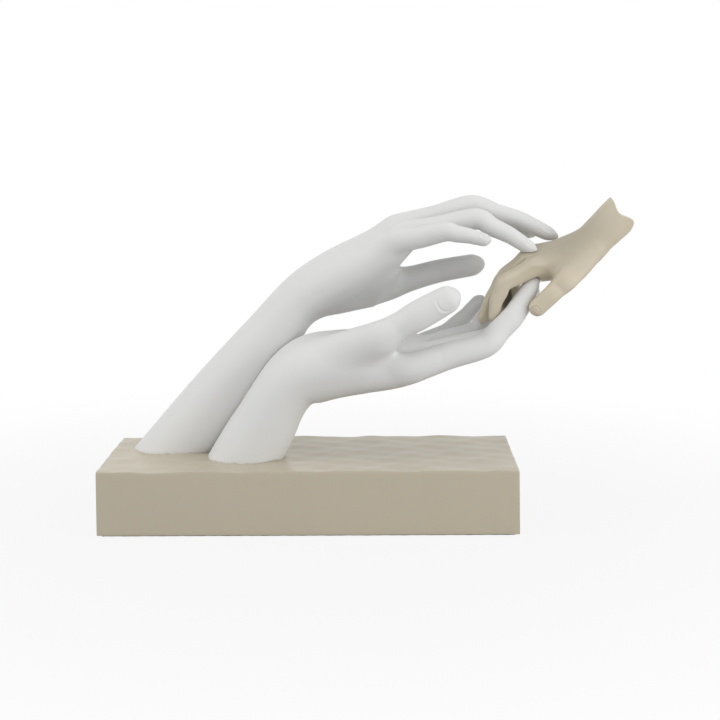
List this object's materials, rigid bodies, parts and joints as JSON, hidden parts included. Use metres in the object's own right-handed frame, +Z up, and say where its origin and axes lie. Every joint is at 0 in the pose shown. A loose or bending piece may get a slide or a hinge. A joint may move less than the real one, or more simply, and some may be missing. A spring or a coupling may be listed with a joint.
{
  "type": "hand sculpture",
  "caption": "Tabletop resin sculpture: two adult hands rise from a rippled rectangular block and cradle a small child's hand between their fingertips.",
  "frame": {"origin": "centre of the felt sheet's underside, which rests on the table", "axes": "+Z up from the table, +X along the block's length towards the fingertips and the child's hand, -Y towards the viewer of the front"},
  "size_m": [0.321, 0.1049, 0.1973],
  "materials": {
    "white_resin": "matt white cast resin, smooth, with soft satin highlights",
    "taupe_resin": "matt warm grey-beige cast resin",
    "felt": "dark self-adhesive felt",
    "zinc": "zinc-plated steel",
    "brass": "plain turned brass"
  },
  "bodies": {
    "root": {"base_block": "taupe_resin", "felt_sheet": "felt", "rear_hand": "white_resin", "front_hand": "white_resin", "child_hand": "taupe_resin", "rear_arm_bolt": "zinc", "rear_arm_washer": "zinc", "rear_arm_insert": "brass", "rear_arm_dowel": "zinc", "front_arm_bolt": "zinc", "front_arm_washer": "zinc", "front_arm_insert": "brass", "front_arm_dowel": "zinc", "child_hand_pin": "zinc"}
  },
  "joints": []
}
